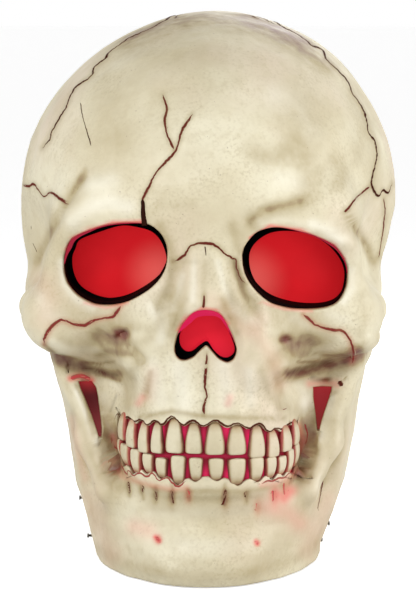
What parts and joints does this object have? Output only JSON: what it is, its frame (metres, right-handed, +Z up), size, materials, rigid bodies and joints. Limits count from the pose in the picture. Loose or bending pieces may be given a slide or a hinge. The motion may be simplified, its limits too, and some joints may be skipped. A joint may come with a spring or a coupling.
{
  "type": "halloween skull decoration",
  "caption": "Hollow moulded skull on a flat base, lit red from inside through its eyes, nose and teeth, with a battery door and switch at the back.",
  "frame": {"origin": "on the ground under the middle of the skull, in the plane where its front and rear halves meet", "axes": "+Z up, the face towards -Y, the skull's left side as seen from the front towards -X"},
  "size_m": [0.409, 0.5041, 0.5886],
  "materials": {
    "bone_plastic": "hard ivory plastic with a brown wash in its grooves, satin",
    "black_plastic": "moulded black plastic",
    "red_lens": "translucent red plastic, lit from behind",
    "lamp": "clear red lamp body",
    "circuit_board": "green laminate",
    "steel": "zinc plated",
    "rubber": "matt black rubber",
    "battery_wrap": "plain shrink wrap",
    "red_wire": "insulated wire",
    "black_wire": "insulated wire"
  },
  "bodies": {
    "skull": {"face_shell": "bone_plastic", "rear_shell": "bone_plastic", "base_plate": "bone_plastic", "foot_1": "rubber", "foot_2": "rubber", "foot_3": "rubber", "foot_4": "rubber", "base_screw_1": "steel", "base_screw_2": "steel", "base_screw_3": "steel", "base_screw_4": "steel", "frame_screw_1": "steel", "frame_screw_2": "steel", "side_screw_1": "steel", "side_screw_2": "steel", "side_screw_3": "steel", "side_screw_4": "steel", "eye_cup_left": "black_plastic", "eye_cup_right": "black_plastic", "eye_lens_left": "red_lens", "eye_lens_right": "red_lens", "eye_board_left": "circuit_board", "eye_board_right": "circuit_board", "eye_lamp_left": "lamp", "eye_lamp_right": "lamp", "nose_cup": "black_plastic", "nose_lens": "red_lens", "nose_board": "circuit_board", "nose_lamp": "lamp", "mouth_lens": "red_lens", "mouth_board": "circuit_board", "mouth_lamp_1": "lamp", "mouth_lamp_2": "lamp", "mouth_lamp_3": "lamp", "lamp_frame": "black_plastic", "battery_tray": "black_plastic", "battery_1": "battery_wrap", "battery_2": "battery_wrap", "battery_3": "battery_wrap", "contact_left": "steel", "contact_right": "steel", "tray_screw_1": "steel", "tray_screw_2": "steel", "hinge_pin": "steel", "control_board": "circuit_board", "wire_main": "red_wire", "wire_eye_left": "red_wire", "wire_eye_right": "red_wire", "wire_nose": "black_wire", "wire_mouth": "black_wire", "wire_switch": "black_wire", "switch_body": "black_plastic"},
    "door": {"battery_door": "bone_plastic"},
    "slider": {"switch_slider": "black_plastic"}
  },
  "joints": [
    {"name": "door_hinge", "type": "hinge", "parent": "skull", "child": "door", "pos_m": [0, 0.1091, 0.04], "axis": [-1, 0, 0], "range_deg": [0, 100]},
    {"name": "switch_slide", "type": "slide", "parent": "skull", "child": "slider", "axis": [0, 0, 1], "range_m": [-0.006, 0]}
  ]
}
